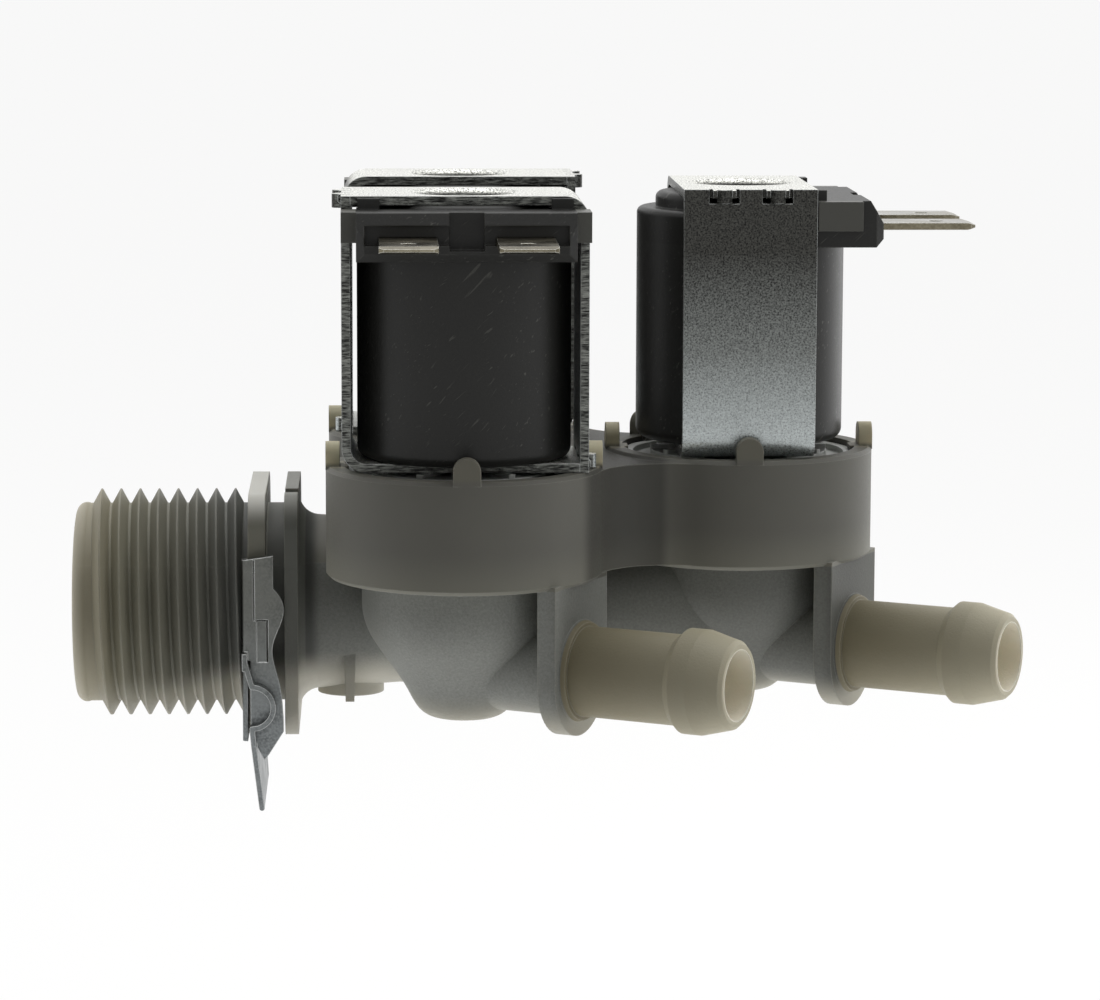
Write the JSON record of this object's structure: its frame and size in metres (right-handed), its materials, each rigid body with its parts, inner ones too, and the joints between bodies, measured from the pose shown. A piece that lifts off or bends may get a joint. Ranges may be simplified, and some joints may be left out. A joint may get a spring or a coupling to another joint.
{
  "type": "washing machine inlet valve",
  "caption": "Solenoid water inlet valve with a threaded inlet, round valve chambers, black coils in steel frames, spade terminals and barbed hose outlets.",
  "frame": {"origin": "centre of the inlet mouth", "axes": "+X along the inlet into the valve, +Z from the outlets' level up to the coils"},
  "size_m": [0.1086, 0.0852, 0.0717],
  "materials": {
    "body_nylon": "glass-filled nylon, fine sandblasted grain below the band",
    "strainer_plastic": "plain moulded",
    "clip_steel": "galvanised spring steel",
    "bonnet_nylon": "glass-filled nylon, smooth",
    "frame_zinc": "zinc plated, grained",
    "coil_plastic": "black, with light scuffs",
    "spade_tin": "tinned brass",
    "plunger_steel": "turned soft iron",
    "seal_rubber": "moulded rubber",
    "spring_steel": "stainless wire",
    "diaphragm_rubber": "moulded rubber",
    "insert_plastic": "plain moulded",
    "restrictor_rubber": "moulded rubber"
  },
  "bodies": {
    "valve": {"valve_body": "body_nylon", "inlet_strainer": "strainer_plastic", "mounting_clip": "clip_steel", "near_bonnet": "bonnet_nylon", "near_frame_upper": "frame_zinc", "near_frame_lower": "frame_zinc", "near_coil": "coil_plastic", "near_terminal_left": "spade_tin", "near_terminal_right": "spade_tin", "near_plunger_spring": "spring_steel", "near_diaphragm": "diaphragm_rubber", "near_diaphragm_insert": "insert_plastic", "near_flow_restrictor": "restrictor_rubber", "far_bonnet": "bonnet_nylon", "far_frame_upper": "frame_zinc", "far_frame_lower": "frame_zinc", "far_coil": "coil_plastic", "far_terminal_left": "spade_tin", "far_terminal_right": "spade_tin", "far_plunger_spring": "spring_steel", "far_diaphragm": "diaphragm_rubber", "far_diaphragm_insert": "insert_plastic", "far_flow_restrictor": "restrictor_rubber", "right_bonnet": "bonnet_nylon", "right_frame_upper": "frame_zinc", "right_frame_lower": "frame_zinc", "right_coil": "coil_plastic", "right_terminal_left": "spade_tin", "right_terminal_right": "spade_tin", "right_plunger_spring": "spring_steel", "right_diaphragm": "diaphragm_rubber", "right_diaphragm_insert": "insert_plastic", "right_flow_restrictor": "restrictor_rubber"},
    "near_armature": {"near_plunger": "plunger_steel", "near_plunger_seal": "seal_rubber"},
    "far_armature": {"far_plunger": "plunger_steel", "far_plunger_seal": "seal_rubber"},
    "right_armature": {"right_plunger": "plunger_steel", "right_plunger_seal": "seal_rubber"}
  },
  "joints": [
    {"name": "near_plunger_slide", "type": "slide", "parent": "valve", "child": "near_armature", "axis": [0, 0, 1], "range_m": [0, 0.0025], "stiffness_N_per_m": 200, "springref_m": -0.005, "deforming": ["near_plunger_spring"]},
    {"name": "far_plunger_slide", "type": "slide", "parent": "valve", "child": "far_armature", "axis": [0, 0, 1], "range_m": [0, 0.0025], "stiffness_N_per_m": 200, "springref_m": -0.005, "deforming": ["far_plunger_spring"]},
    {"name": "right_plunger_slide", "type": "slide", "parent": "valve", "child": "right_armature", "axis": [0, 0, 1], "range_m": [0, 0.0025], "stiffness_N_per_m": 200, "springref_m": -0.005, "deforming": ["right_plunger_spring"]}
  ]
}
